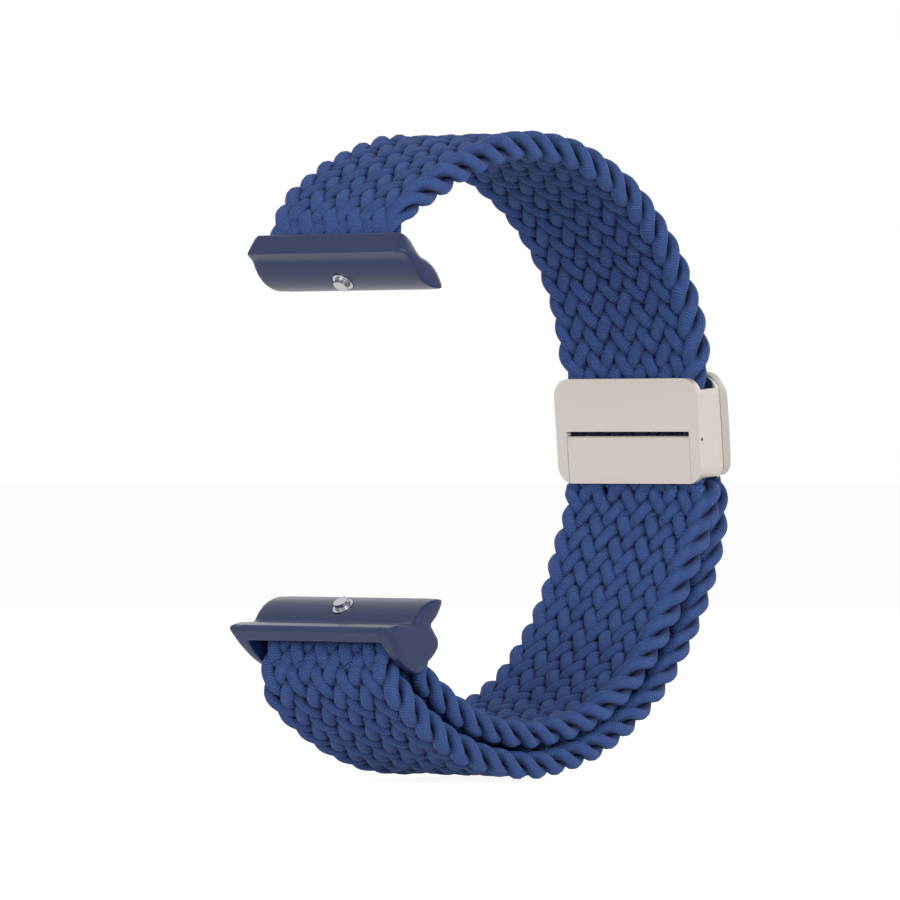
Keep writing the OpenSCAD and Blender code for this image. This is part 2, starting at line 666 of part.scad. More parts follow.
module band_outer_tab() {
    color(cord_blue) on_clasp() difference() {
        block(-end_tab_w / 2, end_tab_w / 2, tab_d - end_tab_t / 2, tab_d + end_tab_t / 2,
            cover_bottom - band_gap / 2, cover_bottom + end_tab_depth);
        rivet_places() rivet_hole();
    }
}

module lower_connector() {
    color(connector_blue) downwards() difference() {
        union() {
            slide_bar();
            difference() {
                intersection() {
                    union() {
                        side_profile(lower_wall, rail_len);
                        rod(bar_r + arm_wall, rail_len, bar_y, bar_z);
                    }
                    side_envelope(connector_edge);
                }
                rod(turn_out_r + turn_gap, channel_w, bar_y, bar_z);
                block(-channel_w / 2, channel_w / 2, -through, bar_y, bar_z - slot_reach, through);
            }
            rod(bar_r, channel_w + over, bar_y, bar_z);
        }
        latch_bore();
    }
}

module lower_latch_collar() color(steel) downwards() latch_collar();
module lower_latch_spring() color(steel) downwards() latch_spring();
module lower_latch_button() color(steel) downwards() latch_button();

module slider_housing() {
    color(champagne) on_clasp() difference() {
        rounded_plate(housing_w, -housing_h / 2, housing_h / 2, housing_corner_r, housing_corner_r,
            0, housing_d);
        block(-channel_w / 2, channel_w / 2, plate_t, housing_d + over, -housing_h, housing_h);
        block(-keeper_w / 2, keeper_w / 2, keeper_d, housing_d + over, -housing_h, housing_h);
        block(-housing_w, housing_w, plate_t, keeper_d, wall_top, housing_h);
        block(-housing_w, housing_w, plate_t, keeper_d, -housing_h, -wall_bottom);
        block(-lever_w / 2 - lever_gap, lever_w / 2 + lever_gap, -over, plate_t + eps,
            -housing_h, slit_top);
        rod(lever_pin_r, housing_w + over, pin_d, pin_s);
    }
}

module keeper_plate() {
    color(steel) on_clasp() difference() {
        intersection() {
            rounded_plate(housing_w, -housing_h / 2, housing_h / 2, housing_corner_r, housing_corner_r,
                keeper_d, housing_d);
            block(-keeper_w / 2, keeper_w / 2, keeper_d, housing_d, -housing_h, housing_h);
        }
        peg_places() rotate([90, 0, 0]) cylinder(r = peg_r + peg_gap, h = through, center = true);
    }
}

module lever_pin() color(steel) on_clasp() rod(lever_pin_r, housing_w - 2 * pin_inset, pin_d, pin_s);

// Grip ribs on the lever's back: their inset from its sides, their width and their spacing
rib_inset = 1;
rib_w = 0.3;
rib_pitch = 1.1;
first_rib_s = pin_s - 1.6;

module lever() {
    color(champagne) on_clasp() difference() {
        union() {
            block(-lever_w / 2, lever_w / 2, 0, lever_t, -housing_h / 2, pin_s);
            rod(barrel_r, lever_w, pin_d, pin_s);
            for (i = [0 : rib_count - 1])
                block(-lever_w / 2 + rib_inset, lever_w / 2 - rib_inset, lever_t - eps, lever_t + rib_h,
                    first_rib_s - i * rib_pitch, first_rib_s - i * rib_pitch + rib_w);
        }
        rod(lever_pin_r + pin_gap, lever_w + over, pin_d, pin_s);
    }
}

// Height of the magnets' middles, with a wall between them and the rim
magnet_wall = 0.5;
magnet_s = cover_top - cover_rim - magnet_wall - magnet_h / 2;

// The tab on the band's outer end, and the gap round it in the cover
end_tab_w = band_w - 3;
end_tab_play = 0.05;

// The two rivets through the tab, and the two register pegs above them, at depth 0
rivet_s = cover_bottom + end_tab_depth * 0.62;
peg_rise = 2;
peg_s = rivet_s + peg_rise;
module peg_places() for (x = [-peg_step / 2, peg_step / 2]) translate([x, 0, peg_s]) children();
module rivet_places() for (x = [-peg_step / 2, peg_step / 2]) translate([x, 0, rivet_s]) children();
module rivet_hole() rotate([90, 0, 0]) cylinder(r = rivet_r, h = through, center = true);
rivet_bite = 0.1;
rivet_end = cover_d + liner_t + end_tab_t + rivet_bite;

// The row of magnets, or with a gap the pockets that hold them
module magnet_row(gap = 0) {
    for (i = [0 : magnet_count - 1]) translate([(i - (magnet_count - 1) / 2) * magnet_step, 0, magnet_s])
        block(-magnet_w / 2 - gap, magnet_w / 2 + gap, cover_d + liner_t, cover_d + liner_t + magnet_t + gap,
            -magnet_h / 2 - gap, magnet_h / 2 + gap);
}

// Plate that fills the cover's recess, from depth d0
module liner_plate(d0) rounded_plate(cover_w - 2 * cover_rim, cover_bottom + cover_rim, cover_top - cover_rim,
    cover_corner_r - cover_rim, cover_foot_r - cover_rim, d0, cover_d + liner_t);

module cover_shell() {
    color(champagne) on_clasp() difference() {
        intersection() {
            rounded_plate(cover_w, cover_bottom, cover_top, cover_corner_r, cover_foot_r,
                cover_d, cover_d + cover_t);
            rod(cover_crown_r, cover_w + over, cover_d + cover_t - cover_crown_r, cover_middle, $fn = 256);
        }
        liner_plate(cover_d - over);
        magnet_row(magnet_gap);
        block(-end_tab_w / 2 - end_tab_play, end_tab_w / 2 + end_tab_play, cover_d + liner_t,
            cover_d + liner_t + end_tab_t, cover_bottom - over, cover_bottom + end_tab_depth + end_tab_play);
        rivet_places() rotate([-90, 0, 0]) cylinder(r = rivet_r, h = rivet_end);
    }
}

module cover_liner() {
    color(champagne) on_clasp() difference() {
        union() {
            liner_plate(cover_d);
            peg_places() translate([0, cover_d - peg_out, 0]) rotate([-90, 0, 0])
                cylinder(r = peg_r, h = peg_out + liner_t);
        }
        rivet_places() rivet_hole();
    }
}

module cover_magnets() {
    color(magnet_grey) on_clasp() magnet_row();
}

module cover_rivets() {
    color(steel) on_clasp() rivet_places() translate([0, cover_d, 0]) rotate([-90, 0, 0])
        cylinder(r = rivet_r, h = rivet_end - cover_d);
}

upper_connector();
upper_latch_collar();
upper_latch_spring();
upper_latch_button();
upper_end_pin();
band_upper_tab();
band_upper_run();
band_clasp_run();
band_inner_run();
band_turn();
band_outer_run();
band_outer_tail();
band_outer_end();
band_outer_tab();
lower_connector();
lower_latch_collar();
lower_latch_spring();
lower_latch_button();
slider_housing();
keeper_plate();
lever_pin();
lever();
cover_shell();
cover_liner();
cover_magnets();
cover_rivets();
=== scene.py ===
import bpy
import numpy as np
from math import cos, pi, radians, sin
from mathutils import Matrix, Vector


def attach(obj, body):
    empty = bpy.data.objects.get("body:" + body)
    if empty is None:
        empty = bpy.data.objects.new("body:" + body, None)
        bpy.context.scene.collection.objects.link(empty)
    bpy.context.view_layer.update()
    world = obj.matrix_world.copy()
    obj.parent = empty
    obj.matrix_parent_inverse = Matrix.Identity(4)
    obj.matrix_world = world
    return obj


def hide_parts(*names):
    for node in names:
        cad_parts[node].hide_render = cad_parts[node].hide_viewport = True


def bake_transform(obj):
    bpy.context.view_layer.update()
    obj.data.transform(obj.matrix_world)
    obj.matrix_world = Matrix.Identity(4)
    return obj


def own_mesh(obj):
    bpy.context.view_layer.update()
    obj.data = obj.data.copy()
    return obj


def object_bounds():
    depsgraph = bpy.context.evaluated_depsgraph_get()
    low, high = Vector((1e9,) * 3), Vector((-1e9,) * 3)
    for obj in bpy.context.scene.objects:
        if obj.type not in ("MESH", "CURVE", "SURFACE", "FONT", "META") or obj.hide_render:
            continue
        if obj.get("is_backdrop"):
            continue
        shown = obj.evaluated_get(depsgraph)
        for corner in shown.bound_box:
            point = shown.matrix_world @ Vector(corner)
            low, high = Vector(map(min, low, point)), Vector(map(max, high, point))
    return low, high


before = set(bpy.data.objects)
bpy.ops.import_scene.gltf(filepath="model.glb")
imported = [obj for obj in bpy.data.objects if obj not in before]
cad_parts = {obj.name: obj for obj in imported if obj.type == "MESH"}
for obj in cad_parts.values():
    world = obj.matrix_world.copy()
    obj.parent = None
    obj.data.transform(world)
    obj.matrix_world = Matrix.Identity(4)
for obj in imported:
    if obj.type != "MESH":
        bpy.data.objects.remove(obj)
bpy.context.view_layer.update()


# ---- Connectors ----
# The nylon lugs at the two ends of the strap, each moulded in one piece with the lens-shaped bar that
# slides into its groove. The band is pinned into the upper one, and turns round a bar between the arms
# of the lower one. The mould gives them soft edges and filled inner corners, softest at their ends.
MM = 0.001
WELD = 0.002                # corners of the solids' loose triangles closer than this are one
FLAT_WITHIN = 1.5           # neighbouring triangles this near to flat, in degrees, are one face
SKIN_STEP = 0.13            # the moulding's skin is rebuilt in steps of this size
SKIN_ROUNDS = 8             # times that the skin is smoothed
END_FROM = 11.2             # from here outwards, across the band, a connector's end is rounded further
END_ROUNDS = 80
ROUND_SHARE = 0.5


def linear(hex_colour):
    """A colour written as sRGB hex, as the linear values that the shaders take."""
    values = [int(hex_colour[i:i + 2], 16) / 255 for i in (1, 3, 5)]
    return [c / 12.92 if c <= 0.04045 else ((c + 0.055) / 1.055) ** 2.4 for c in values] + [1]


def add_node(tree, kind, settings=(), **inputs):
    """Adds a shader node, sets its properties, and sets or links its inputs by name or number."""
    node = tree.nodes.new(kind)
    for key, value in dict(settings).items():
        setattr(node, key, value)
    for key, value in inputs.items():
        by_number = key[0] == "i" and key[1:].isdigit()
        socket = node.inputs[int(key[1:]) if by_number else key.replace("_", " ")]
        if isinstance(value, bpy.types.NodeSocket):
            tree.links.new(value, socket)
        else:
            socket.default_value = value
    return node


def new_material(name):
    """A material with an empty node tree, and that tree."""
    material = bpy.data.materials.new(name)
    material.use_nodes = True
    material.node_tree.nodes.clear()
    return material, material.node_tree


# Nylon, dyed through in a darker blue than the band and injection moulded. The mould's eroded grain, six
# grains to a millimetre, is too fine to see by itself and gives the eye a satin sheen.
NYLON_BLUE = "#1b2853"
NYLON_GRAINS = 6            # in a millimetre
NYLON_GRAIN_DEPTH = 0.02

moulded_nylon, tree = new_material("moulded_nylon")
place = add_node(tree, "ShaderNodeTexCoord")
grain = add_node(tree, "ShaderNodeTexNoise", Vector=place.outputs["Object"], Scale=NYLON_GRAINS / MM,
                 Detail=2.0)
bump = add_node(tree, "ShaderNodeBump", Height=grain.outputs["Fac"], Strength=0.12,
                Distance=NYLON_GRAIN_DEPTH * MM)
surface = add_node(tree, "ShaderNodeBsdfPrincipled", Base_Color=linear(NYLON_BLUE), Roughness=0.33,
                   Specular_IOR_Level=0.4, Normal=bump.outputs[0])
add_node(tree, "ShaderNodeOutputMaterial", Surface=surface.outputs[0])


def merged_copy(name, node):
    """A copy of a solid with its loose triangles merged into whole faces, selected and active."""
    bpy.ops.object.select_all(action="DESELECT")
    piece = bpy.data.objects.new(name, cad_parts[node].data.copy())
    bpy.context.scene.collection.objects.link(piece)
    piece.select_set(True)
    bpy.context.view_layer.objects.active = piece
    bpy.ops.object.mode_set(mode="EDIT")
    bpy.ops.mesh.select_all(action="SELECT")
    bpy.ops.mesh.remove_doubles(threshold=WELD * MM)
    bpy.ops.mesh.dissolve_limited(angle_limit=radians(FLAT_WITHIN))
    bpy.ops.object.mode_set(mode="OBJECT")
    return piece


def moulded_copy(name, node):
    """A copy of a solid with the soft edges and filled corners of a moulding, softest at its two ends."""
    piece = merged_copy(name, node)
    bpy.ops.object.modifier_add(type="REMESH")
    skin = piece.modifiers[-1]
    skin.mode = "VOXEL"
    skin.voxel_size = SKIN_STEP * MM
    bpy.ops.object.modifier_apply(modifier=skin.name)
    ends = piece.vertex_groups.new(name="ends")
    ends.add([v.index for v in piece.data.vertices if abs(v.co.x) > END_FROM * MM], 1.0, "REPLACE")
    for rounds, group in ((SKIN_ROUNDS, ""), (END_ROUNDS, "ends")):
        bpy.ops.object.modifier_add(type="SMOOTH")
        smooth = piece.modifiers[-1]
        smooth.factor = ROUND_SHARE
        smooth.iterations = rounds
        smooth.vertex_group = group
        bpy.ops.object.modifier_apply(modifier=smooth.name)
    piece.vertex_groups.clear()
    bpy.ops.object.shade_smooth()
    return piece


def put_on(piece, body, node, material):
    """Gives a rigid piece its body and its material, and hides the solid that it replaces."""
    piece.data.materials.clear()
    piece.data.materials.append(material)
    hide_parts(node)
    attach(piece, body)


put_on(moulded_copy("upper_connector_moulding", "upper_connector"),
       "strap", "upper_connector", moulded_nylon)
put_on(moulded_copy("lower_connector_moulding", "lower_connector"),
       "lower_lug", "lower_connector", moulded_nylon)


# ---- Latches ----
# A sprung button in the middle of each slide bar, which snaps into the groove and holds the connector
# there. The collar and the button are turned from stainless steel. Between the button's flange and the
# end of the bore sits a coil of steel wire, and pressing the button shortens it.
WIRE = 0.3
WIRE_SIDES = 8
WIRE_SMOOTH_BELOW = 50      # degrees between faces
COIL_RADIUS = 0.92
COIL_TURNS = 2.5
COIL_STEPS = 48             # in a turn
COIL_LENGTH = 1.2
COIL_DEPTH = 1.0            # from the bore's mouth, behind the button's flange
SLIDE_BAR = (1.5, 19.8)     # its middle, back and up
SLIDE_BAR_SLOPE = 36
SLIDE_BAR_THICKNESS = 2.4


# The marks that finishing leaves on metal, nine to a millimetre and each about 2 mm long. They are too
# fine to see one by one, and draw the reflections soft.
MARKS = 9                   # in a millimetre
MARK_LENGTH = 2
MARK_DEPTH = 0.01


def finished_metal(name, hex_colour, metallic, roughness):
    """A metal, bare or coated, with those marks on it."""
    material, tree = new_material(name)
    place = add_node(tree, "ShaderNodeTexCoord")
    stretch = add_node(tree, "ShaderNodeMapping", Vector=place.outputs["Object"],
                       Scale=(MARKS / MM, MARKS / MM, 1 / (MARK_LENGTH * MM)))
    marks = add_node(tree, "ShaderNodeTexNoise", Vector=stretch.outputs[0], Scale=1.0, Detail=3.0)
    bump = add_node(tree, "ShaderNodeBump", Height=marks.outputs["Fac"], Strength=0.08,
                    Distance=MARK_DEPTH * MM)
    surface = add_node(tree, "ShaderNodeBsdfPrincipled", Base_Color=linear(hex_colour), Metallic=metallic,
                       Roughness=roughness, Normal=bump.outputs[0])
    add_node(tree, "ShaderNodeOutputMaterial", Surface=surface.outputs[0])
    return material


def finish_solids(material, *nodes):
    """Gives the solids that stay in the model their material."""
    for node in nodes:
        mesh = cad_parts[node].data
        mesh.materials.clear()
        mesh.materials.append(material)


# Stainless steel, turned and then brushed: bright, with soft reflections
brushed_steel = finished_metal("brushed_stainless_steel", "#b9bbbe", metallic=1.0, roughness=0.3)
finish_solids(brushed_steel, "upper_latch_collar", "upper_latch_button",
              "lower_latch_collar", "lower_latch_button")

bpy.ops.object.select_all(action="DESELECT")
bpy.ops.mesh.primitive_circle_add(vertices=WIRE_SIDES, radius=WIRE / 2 * MM,
                                  location=(COIL_RADIUS * MM, 0, 0), rotation=(pi / 2, 0, 0))
upper_coil = bpy.context.object
upper_coil.name = "upper_latch_coil"
bpy.ops.object.transform_apply(location=True, rotation=True, scale=True)
bpy.ops.object.modifier_add(type="SCREW")
winding = upper_coil.modifiers[-1]
winding.angle = 2 * pi * COIL_TURNS
winding.screw_offset = (COIL_LENGTH - WIRE) * MM
winding.steps = winding.render_steps = COIL_STEPS
winding.use_merge_vertices = False
bpy.ops.object.modifier_apply(modifier=winding.name)
bpy.ops.object.mode_set(mode="EDIT")
bpy.ops.mesh.select_all(action="SELECT")
bpy.ops.mesh.fill_holes(sides=0)
bpy.ops.mesh.select_all(action="SELECT")
bpy.ops.mesh.normals_make_consistent(inside=False)
bpy.ops.object.mode_set(mode="OBJECT")
bpy.ops.object.shade_smooth_by_angle(angle=radians(WIRE_SMOOTH_BELOW))
bpy.ops.object.duplicate()
lower_coil = bpy.context.object
lower_coil.name = "lower_latch_coil"

for end, piece, side, body in (("upper", upper_coil, 1, "strap"), ("lower", lower_coil, -1, "lower_lug")):
    into = Vector((0, sin(radians(SLIDE_BAR_SLOPE)), side * cos(radians(SLIDE_BAR_SLOPE))))
    mouth = Vector((0, SLIDE_BAR[0], side * SLIDE_BAR[1])) - into * SLIDE_BAR_THICKNESS / 2
    bpy.ops.object.select_all(action="DESELECT")
    piece.select_set(True)
    bpy.context.view_layer.objects.active = piece
    piece.location = (mouth + into * (COIL_DEPTH + WIRE / 2)) * MM
    piece.rotation_euler = into.to_track_quat("Z", "Y").to_euler()
    bpy.ops.object.transform_apply(location=True, rotation=True, scale=True)
    put_on(piece, body, f"{end}_latch_spring", brushed_steel)
    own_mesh(piece)


# ---- End pin ----
# A steel pin through the band's first tab and both sides of the upper connector's slot. It is cut from
# drawn wire and pressed in.
finish_solids(brushed_steel, "upper_end_pin")


# ---- Braided band ----
# One flat band of 21 round cords, each a nylon sheath braided over elastic, and all of them plaited two
# over and two under. It leaves the upper connector, goes over the top and down through the clasp, on
# round the lower connector's bar, and back outside itself to the clasp's cover.

# Its route, in millimetres, seen from the side as Y and Z. Each stretch is an arc or a straight, as in
# the solid model. A knee is the heading, in degrees, at which a stretch changes from one arc to the next.
TOP = (22.5, 35.1)
EXIT = (-0.3, 24.9)
EXIT_HEADING = 68
BAR = (1.2, -25.4)
TURN_RADIUS = 2.65
INNER_BOTTOM = (22.3, -34.1)
LAYER_STEP = 3.6
OUTER_BOTTOM = (INNER_BOTTOM[0], INNER_BOTTOM[1] - LAYER_STEP)
FRONT_KNEE = 35
BACK_KNEE = -50
INNER_KNEE = -118
OUTER_KNEE = -132
LOWER_FRONT_KNEE = -222
CLASP = (50.9, 1.55)
CLASP_TILT = 5
CLASP_HEADING = CLASP_TILT - 90
BAND_DEPTH = 2.2            # behind the clasp's inner face, where the band runs through the housing
PRESSED_DEPTH = 4.9         # and where its outer end is pressed in the cover
STRAIGHT_UP = 6.9
STRAIGHT_DOWN = 6.6
PRESSED_START = -5.775
CLASP_BEND = (28, 10)       # the turn in degrees and its radius
END_BEND = (20, 20)
TAB_DEPTH = 2.6
END_TAB_DEPTH = 2.9


def clasp_point(depth, height):
    """A point in the side view, from its depth behind the clasp's inner face and its height along it."""
    c, s = cos(radians(CLASP_TILT)), sin(radians(CLASP_TILT))
    return (CLASP[0] + depth * c - height * s, CLASP[1] + depth * s + height * c)


def on_bend(start, a, b, radius):
    """Where a bend that starts at heading a has heading b. A negative radius turns it to the left."""
    a, b = np.radians(a), np.radians(b)
    return np.array([start[0] + radius * (np.sin(a) - np.sin(b)),
                     start[1] + radius * (np.cos(b) - np.cos(a))])


def two_bends(p, q, a, m, b):
    """The two bends that lead from p at heading a to q at heading b, and change radius at heading m."""
    sa, sm, sb = (sin(radians(h)) for h in (a, m, b))
    ca, cm, cb = (cos(radians(h)) for h in (a, m, b))
    first, second = np.linalg.solve([[sa - sm, sm - sb], [cm - ca, cb - cm]], np.subtract(q, p))
    return [(p, a, m, first), (tuple(on_bend(p, a, m, first)), m, b, second)]


def turned_back(bends):
    """The same bends walked from their far end, which turns them to the left."""
    return [(tuple(on_bend(p, a, b, r)), b + 180, a + 180, -r) for p, a, b, r in reversed(bends)]


clasp_bottom = clasp_point(BAND_DEPTH, -STRAIGHT_DOWN)
inner_start = tuple(on_bend(clasp_bottom, CLASP_HEADING, CLASP_HEADING - CLASP_BEND[0], CLASP_BEND[1]))
pressed_start = clasp_point(PRESSED_DEPTH, PRESSED_START)
tail_start = tuple(on_bend(pressed_start, CLASP_HEADING, CLASP_HEADING - END_BEND[0], END_BEND[1]))
bends = (
    two_bends(EXIT, TOP, EXIT_HEADING, FRONT_KNEE, 0)
    + two_bends(TOP, clasp_point(BAND_DEPTH, STRAIGHT_UP), 0, BACK_KNEE, CLASP_HEADING)
    + [(clasp_point(BAND_DEPTH, STRAIGHT_UP), CLASP_HEADING, CLASP_HEADING, STRAIGHT_UP + STRAIGHT_DOWN)]
    + [(clasp_bottom, CLASP_HEADING, CLASP_HEADING - CLASP_BEND[0], CLASP_BEND[1])]
    + two_bends(inner_start, INNER_BOTTOM, CLASP_HEADING - CLASP_BEND[0], INNER_KNEE, -180)
    + two_bends(INNER_BOTTOM, (BAR[0] + TURN_RADIUS, BAR[1]), -180, LOWER_FRONT_KNEE, -270)
    + [((BAR[0] + TURN_RADIUS, BAR[1]), -270, -90, -TURN_RADIUS)]
    + turned_back(two_bends(OUTER_BOTTOM, (BAR[0] - TURN_RADIUS, BAR[1]), -180, LOWER_FRONT_KNEE, -270))
    + turned_back(two_bends(tail_start, OUTER_BOTTOM, CLASP_HEADING - END_BEND[0], OUTER_KNEE, -180))
    + turned_back([(pressed_start, CLASP_HEADING, CLASP_HEADING - END_BEND[0], END_BEND[1])])
)
# A straight keeps its length in the radius's place
bend_lengths = [r if a == b else abs(r * radians(b - a)) for p, a, b, r in bends]
bend_starts = np.concatenate([[0], np.cumsum(bend_lengths)])


def on_route(v):
    """The route's Y and Z, and its heading in radians, at each length v from the upper connector."""
    y, z, heading = (np.zeros(len(v)) for _ in range(3))
    at = np.clip(np.searchsorted(bend_starts, v, side="right") - 1, 0, len(bends) - 1)
    for i, (p, a, b, r) in enumerate(bends):
        here = at == i
        beyond = v[here] - bend_starts[i]
        inside = np.clip(beyond, 0, bend_lengths[i])
        h = a + (b - a) * inside / bend_lengths[i]
        py, pz = (np.full(len(h), p[0]), np.full(len(h), p[1])) if a == b else on_bend(p, a, h, r)
        straight = beyond if a == b else beyond - inside
        y[here] = py + straight * np.cos(np.radians(h))
        z[here] = pz + straight * np.sin(np.radians(h))
        heading[here] = np.radians(h)
    return y, z, heading


# Where the band's pieces meet, as lengths from the upper connector. Above the clasp and below it the
# band gives over the length YIELD when the clasp slides. The tail starts TAIL_TURN degrees of its arc
# before the outer end.
YIELD = 16
TAIL_TURN = 20
v_marks = {
    "clasp_run": bend_starts[4] - YIELD,
    "clasp_top": bend_starts[4],
    "clasp_bottom": bend_starts[5],
    "inner_run": bend_starts[6],
    "turn": bend_starts[10],
    "outer_run": bend_starts[11],
    "outer_tail": bend_starts[15] - radians(TAIL_TURN) * abs(bends[14][3]),
    "outer_end": bend_starts[15],
    "tab": bend_starts[16],
    "end": bend_starts[16] + END_TAB_DEPTH,
}

# The plait. Each cord runs to one edge, turns there and runs back, so the floats stand in columns of V
# shapes and the edges look like rope. The columns count from the left edge to the right one and back.
CORDS = 21
COLUMN = 1.085
ROW = 3.33
CORD_WIDTH = 1.86
CORD_HEIGHT = 1.48
BRAID_THICKNESS = 3.1
PERIOD = 2 * CORDS
LENGTH_PER_COLUMN = ROW * CORDS / PERIOD
# Where a cord changes from the upper face to the lower one, in columns. The floats next to an edge are
# the longer ones.
FLOAT = 2
EDGE_FLOAT = 2.5
LOBES = [0] + [EDGE_FLOAT + FLOAT * i for i in range(int((CORDS - 2 * EDGE_FLOAT) / FLOAT) + 1)] + [CORDS]
LOBES = np.array(LOBES + [PERIOD - x for x in reversed(LOBES[:-1])])
# How long a float keeps to its face, in mid-band and at the edges: the higher, the longer
PLATEAU = 1.4
EDGE_PLATEAU = 0.8
PLATEAU_REACH = 1.3         # of the edge's plateau, in columns
# How a cord turns at an edge: how round, how much higher, and how much thicker
EDGE_ROUND = 0.95
EDGE_RISE = 0.3
RISE_REACH = 1.8
EDGE_FULLNESS = 0.15
FULLNESS_REACH = 1.4
# How much wider a cord gets where it passes between others, and where the clasp or a slot presses it
FLATTENED = 0.25
PRESSED_WIDER = 0.12
# The plait's small unevenness, as waves, each by its size and a length
ACROSS_WAVES = ((0.035, 2.3), (0.02, 0.9))
HEIGHT_WAVE = (0.05, 1.7)
ALONG_WAVE = (0.08, 2.9)
rng = np.random.default_rng(7)
cord_phases = rng.uniform(0, 2 * pi, (CORDS, 4))

# The tubes' rings, their sides, and how far ahead their direction is looked up
RING_STEP = 0.36
CORD_PER_BAND = 1.22        # a cord's length in one of the band
CORD_SIDES = 10
AHEAD = 0.05
# Where each next cord's ribs start, and how they run on from one piece of the band to the next
RIB_SHIFT = 3.7
RIB_RUN = 1.2

# Thickness of the braid at lengths along it
THICKNESS = [
    (-TAB_DEPTH, 1.25), (0.3, 1.3), (3.5, 2.6), (7, BRAID_THICKNESS),
    (v_marks["clasp_top"] - 5, BRAID_THICKNESS), (v_marks["clasp_top"] - 0.5, 2.5),
    (v_marks["clasp_bottom"] + 0.1, 2.5), (v_marks["clasp_bottom"] + 1.5, BRAID_THICKNESS),
    (v_marks["turn"] - 5, 2.9), (v_marks["turn"], 2.3),
    (v_marks["outer_run"], 2.3), (v_marks["outer_run"] + 4, BRAID_THICKNESS),
    (v_marks["outer_end"] + 0.3, 2.6), (v_marks["tab"] - 1.3, 1.3), (v_marks["tab"] - 0.4, 0.9),
    (v_marks["tab"] + 0.4, 0.55), (v_marks["end"], 0.55),
]
# How far it spreads across: less where the clasp's channel and the connectors' slots hold it
SPREAD = [
    (-TAB_DEPTH, 0.88), (1, 0.91), (4, 0.955), (9, 0.98), (16, 1),
    (v_marks["clasp_top"] - 12, 1), (v_marks["clasp_top"] - 1.5, 1.03), (v_marks["clasp_top"] + 0.5, 0.93),
    (v_marks["clasp_bottom"], 0.93), (v_marks["clasp_bottom"] + 0.8, 1.06),
    (v_marks["inner_run"] + 2, 1.04), (v_marks["inner_run"] + 10, 0.97), (v_marks["turn"] - 4, 0.96),
    (v_marks["turn"], 0.9), (v_marks["outer_run"], 0.9), (v_marks["outer_run"] + 4, 1),
    (v_marks["tab"] - 2, 0.98), (v_marks["tab"], 0.87), (v_marks["end"], 0.77),
]
# How far the loose runs sag towards the wrist from the route
SAG = [
    (0.5, 0), (4, 0.4), (9, 0.7), (15, 0.5), (22, 0),
    (v_marks["clasp_bottom"] + 3, 0), (v_marks["clasp_bottom"] + 9, 0.45),
    (v_marks["inner_run"] + 16, 0.4), (v_marks["inner_run"] + 26, 0),
]
# The crown is 1 on top of the floats and 0 from this depth under the braid's skin, and the material darkens
# the cords by it: painted shade between the cords. No light reaches the cords in the middle of the clasp's
# channel, so their crown is taken back, which paints shade on them there.
CROWN_DEPTH = 1.15
HALF_WIDTH = COLUMN * (CORDS / 2 - EDGE_ROUND) + CORD_WIDTH / 2
# How much shade is painted on the cords in the middle of the clasp's channel, at lengths along the band
CLASP_PAINTED_SHADE = [
    (v_marks["clasp_top"] + 3, 0), (v_marks["clasp_top"] + 5, 0.85),
    (v_marks["clasp_bottom"] - 5, 0.85), (v_marks["clasp_bottom"] - 3, 0),
]


def cord_line(cord, v):
    """Places on one cord at lengths v along the band, the direction square to the band there, how far
    the braid is squeezed flat, and how much wider and thicker the cord is than its nominal size."""
    columns = (v - cord * ROW) / LENGTH_PER_COLUMN
    at = columns % PERIOD
    to_edge = np.minimum(np.minimum(at, PERIOD - at), np.abs(at - CORDS))
    from_edge = np.sqrt(to_edge ** 2 + EDGE_ROUND ** 2)
    leftwards = np.minimum(at, PERIOD - at) < CORDS / 2
    across = COLUMN * np.where(leftwards, from_edge - CORDS / 2, CORDS / 2 - from_edge)
    lobe = np.clip(np.searchsorted(LOBES, at, side="right") - 1, 0, len(LOBES) - 2)
    share = (at - LOBES[lobe]) / (LOBES[lobe + 1] - LOBES[lobe])
    flatness = PLATEAU + (EDGE_PLATEAU - PLATEAU) * np.exp(-(to_edge / PLATEAU_REACH) ** 2)
    wave = np.where(lobe % 2 == 0, 1, -1) * np.tanh(flatness * np.sin(pi * share)) / np.tanh(flatness)
    squeeze = np.interp(v, *zip(*THICKNESS)) / BRAID_THICKNESS
    rope = 1 + EDGE_RISE * np.exp(-(to_edge / RISE_REACH) ** 2)
    height = wave * rope * squeeze * (BRAID_THICKNESS - CORD_HEIGHT) / 2
    a, b, c, d = cord_phases[cord]
    (slow, slow_length), (quick, quick_length) = ACROSS_WAVES
    across = (across * np.interp(v, *zip(*SPREAD)) + slow * np.sin(v / slow_length + a)
              + quick * np.sin(v / quick_length + b))
    height = height + squeeze * HEIGHT_WAVE[0] * np.sin(v / HEIGHT_WAVE[1] + c) + np.interp(v, *zip(*SAG))
    along = v + ALONG_WAVE[0] * np.sin(v / ALONG_WAVE[1] + d)
    y, z, heading = on_route(along)
    right = np.stack([np.zeros(len(v)), np.sin(heading), -np.cos(heading)], 1)
    edge = np.exp(-(to_edge / FULLNESS_REACH) ** 2)
    wide = 1 + FLATTENED * (1 - wave ** 2) * (1 - edge)
    tall = 1 + EDGE_FULLNESS * edge
    return np.stack([across, y, z], 1) + height[:, None] * right, right, squeeze, wide, tall


def crown_of(rings, v, squeeze):
    """How near a cord's points come to the braid's skin, from 0 deep in it to 1: the less, the more painted
    shade.
    """
    y, z, heading = on_route(v)
    across = np.abs(rings[:, :, 0])
    height = np.abs((rings[:, :, 1] - y[:, None]) * np.sin(heading)[:, None]
                    - (rings[:, :, 2] - z[:, None]) * np.cos(heading)[:, None]
                    - np.interp(v, *zip(*SAG))[:, None])
    half_width = HALF_WIDTH * np.interp(v, *zip(*SPREAD))[:, None]
    below_skin = np.minimum(squeeze[:, None] * BRAID_THICKNESS / 2 - height, half_width - across)
    unshaded_share = np.clip(1 - below_skin / CROWN_DEPTH, 0, 1)
    # In the clasp's channel the crown is taken back, which paints shade there
    return unshaded_share * (1 - np.interp(v, *zip(*CLASP_PAINTED_SHADE))[:, None])


